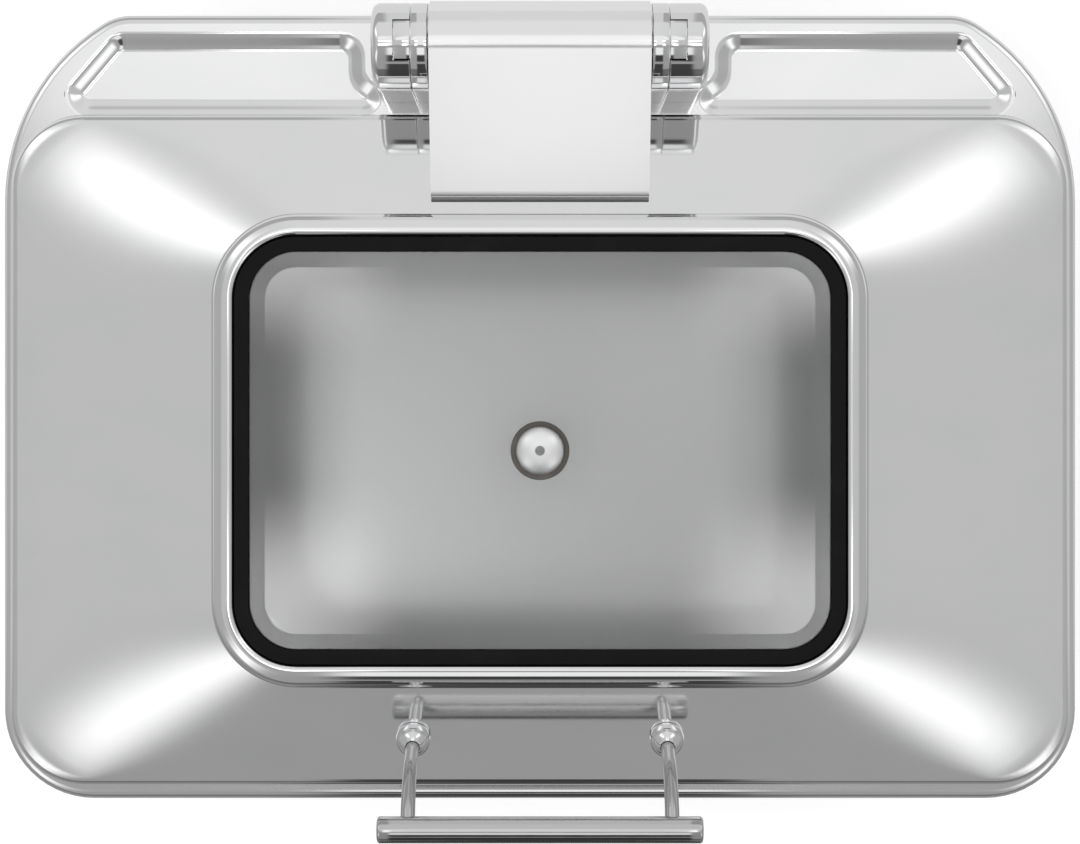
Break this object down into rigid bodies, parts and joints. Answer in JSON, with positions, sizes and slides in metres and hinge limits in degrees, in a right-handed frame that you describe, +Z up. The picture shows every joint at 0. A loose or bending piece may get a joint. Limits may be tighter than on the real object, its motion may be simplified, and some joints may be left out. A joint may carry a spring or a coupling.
{
  "type": "chafing dish",
  "caption": "Induction chafing dish: a wide-rimmed water pan with a hanging food pan, and a windowed lid on a rear damped hinge.",
  "frame": {"origin": "centre of the underside of the induction plate, under the middle of the food pan", "axes": "+X to the right along the long side, +Y to the hinge at the back, +Z up"},
  "size_m": [0.5614, 0.4174, 0.1844],
  "materials": {
    "polished_steel": "mirror-polished stainless steel",
    "satin_steel": "satin stainless steel",
    "zinc_steel": "zinc-plated steel",
    "black_rubber": "matt black silicone",
    "grey_silicone": "matt grey silicone",
    "dark_polymer": "moulded bearing polymer",
    "clear_glass": "clear toughened glass"
  },
  "bodies": {
    "base": {"water_pan": "polished_steel", "induction_plate": "satin_steel", "hinge_housing_left": "polished_steel", "hinge_collar_left": "polished_steel", "hinge_housing_right": "polished_steel", "hinge_collar_right": "polished_steel", "lid_bumper_front_left": "black_rubber", "lid_bumper_back_left": "black_rubber", "lid_bumper_front_right": "black_rubber", "lid_bumper_back_right": "black_rubber", "hinge_backing_plate": "zinc_steel", "hinge_base_screw_1": "zinc_steel", "hinge_base_screw_2": "zinc_steel", "hinge_base_screw_3": "zinc_steel", "hinge_base_screw_4": "zinc_steel", "hinge_shaft": "satin_steel", "hinge_spring": "zinc_steel"},
    "food_pan": {"food_pan": "satin_steel"},
    "lid": {"lid_shell": "polished_steel", "window_bezel": "polished_steel", "window_seal": "black_rubber", "window_glass": "clear_glass", "window_clamp_frame": "satin_steel", "clamp_nut_1": "zinc_steel", "clamp_nut_2": "zinc_steel", "clamp_nut_3": "zinc_steel", "clamp_nut_4": "zinc_steel", "clamp_nut_5": "zinc_steel", "clamp_nut_6": "zinc_steel", "clamp_nut_7": "zinc_steel", "clamp_nut_8": "zinc_steel", "vent_cap": "polished_steel", "vent_gasket": "grey_silicone", "vent_washer": "grey_silicone", "vent_nut": "zinc_steel", "hinge_cover": "satin_steel", "hinge_knuckle": "satin_steel", "hinge_bush_left": "dark_polymer", "hinge_bush_right": "dark_polymer", "hinge_damper": "dark_polymer", "hinge_inner_plate": "zinc_steel", "hinge_lid_screw_1": "zinc_steel", "hinge_lid_screw_2": "zinc_steel", "hinge_lid_screw_3": "zinc_steel", "hinge_lid_screw_4": "zinc_steel", "handle_bar": "polished_steel", "handle_post_left": "polished_steel", "handle_ball_left": "polished_steel", "handle_washer_left": "black_rubber", "handle_nut_left": "zinc_steel", "handle_post_right": "polished_steel", "handle_ball_right": "polished_steel", "handle_washer_right": "black_rubber", "handle_nut_right": "zinc_steel"}
  },
  "joints": [
    {"name": "lid_hinge", "type": "hinge", "parent": "base", "child": "lid", "pos_m": [0, 0.2028, 0.142], "axis": [-1, 0, 0], "range_deg": [0, 90]},
    {"name": "food_pan_lift", "type": "slide", "parent": "base", "child": "food_pan", "axis": [0, 0, 1], "range_m": [0, 0.01]}
  ]
}
